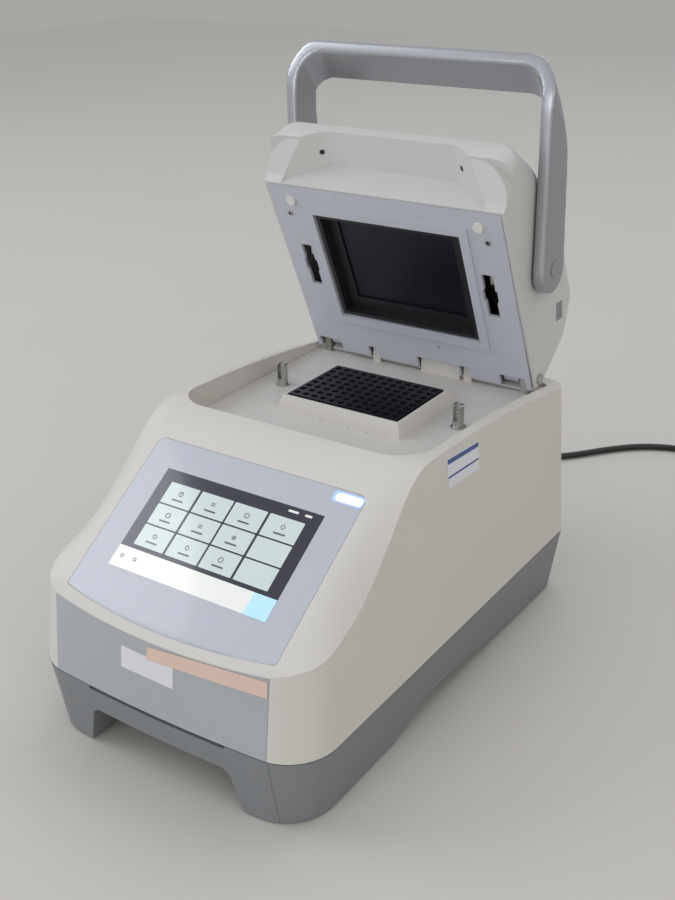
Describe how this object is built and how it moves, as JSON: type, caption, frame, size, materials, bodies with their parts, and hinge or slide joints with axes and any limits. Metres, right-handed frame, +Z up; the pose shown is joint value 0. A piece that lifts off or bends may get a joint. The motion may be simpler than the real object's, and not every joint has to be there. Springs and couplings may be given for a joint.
{
  "type": "thermal cycler",
  "caption": "Bench-top thermal cycler with a conical-well sample block, a sloping touch screen, a hinged heated lid standing open and a bail handle that works its latch.",
  "frame": {"origin": "on the bench below the middle of the instrument, its mains lead left out", "axes": "+X to the instrument's right as its user sees it, +Y to its rear, +Z up"},
  "size_m": [0.3955, 0.8333, 0.4864],
  "materials": {
    "housing": "warm off-white moulded plastic, fine texture",
    "plinth": "mid grey moulded plastic, fine texture",
    "panel": "light grey moulded plastic",
    "screen": "clear cover with a grey border",
    "display": "dark display module",
    "light": "milky light guide",
    "deck": "off-white moulded plastic",
    "block": "dark anodised aluminium",
    "seal": "black silicone",
    "bare": "bare aluminium",
    "ceramic": "white ceramic faces",
    "black_plastic": "black plastic",
    "board": "green circuit board",
    "sheet": "plated sheet steel",
    "steel": "ground steel",
    "brass_spring": "oil-browned spring steel",
    "pad": "black rubber",
    "bumper": "translucent white rubber",
    "lid_plate": "light grey powder coat",
    "handle": "die casting with silver paint",
    "bush": "white acetal",
    "cord": "black cable sheath"
  },
  "bodies": {
    "base": {"plinth": "plinth", "plinth_floor": "plinth", "plinth_front": "plinth", "upper_housing": "housing", "front_panel": "panel", "touch_glass": "screen", "display_module": "display", "display_bracket": "sheet", "status_light_guide": "light", "deck_tray": "deck", "sample_block": "block", "block_seal": "seal", "peltier_modules": "ceramic", "heat_sink": "bare", "fan_frame": "black_plastic", "main_board": "board", "power_supply": "sheet", "rear_panel": "sheet", "power_inlet": "black_plastic", "rear_ports": "black_plastic", "switch_frame": "black_plastic", "rubber_foot_1": "pad", "rubber_foot_2": "pad", "rubber_foot_3": "pad", "rubber_foot_4": "pad", "latch_post_left": "steel", "latch_post_right": "steel", "hinge_bracket_left": "steel", "hinge_bracket_right": "steel", "rod_boss_left": "deck", "rod_boss_right": "deck", "hinge_rod": "steel", "hinge_spring_left": "brass_spring", "hinge_spring_right": "brass_spring", "cable_duct": "deck", "c13_connector": "cord", "cord_relief": "cord", "mains_cord": "cord", "cord_coil": "cord", "mains_plug": "cord"},
    "fan": {"fan_rotor": "black_plastic"},
    "power_switch": {"mains_switch": "black_plastic"},
    "lid": {"lid_shell": "housing", "lid_plate": "lid_plate", "heater_frame": "black_plastic", "heater_spring_1": "steel", "heater_spring_2": "steel", "heater_spring_3": "steel", "heater_spring_4": "steel", "lid_bumper_left": "bumper", "lid_bumper_right": "bumper", "shaft_bearing_left": "bush", "shaft_bearing_right": "bush"},
    "press_plate": {"heated_plate": "block"},
    "bail": {"handle": "handle", "handle_cap_left": "handle", "handle_cap_right": "handle", "latch_shaft": "steel", "latch_hook_left": "steel", "latch_hook_right": "steel"}
  },
  "joints": [
    {"name": "lid_hinge", "type": "hinge", "parent": "base", "child": "lid", "pos_m": [0, 0.1582, 0.2153], "axis": [1, 0, 0], "range_deg": [0, 67.6]},
    {"name": "handle_pivot", "type": "hinge", "parent": "lid", "child": "bail", "pos_m": [0, 0.14956, 0.31763], "axis": [1, 0, 0], "range_deg": [0, 22]},
    {"name": "press_travel", "type": "slide", "parent": "lid", "child": "press_plate", "axis": [0, 0.9245, 0.3811], "range_m": [0, 0.003], "stiffness_N_per_m": 4000, "springref_m": -0.004},
    {"name": "fan_spin", "type": "hinge", "parent": "base", "child": "fan", "pos_m": [0, 0.0593, 0.124], "axis": [0, 0, 1], "continuous": true},
    {"name": "switch_rock", "type": "hinge", "parent": "base", "child": "power_switch", "pos_m": [-0.087, 0.1907, 0.1], "axis": [1, 0, 0], "range_deg": [0, 14]}
  ]
}
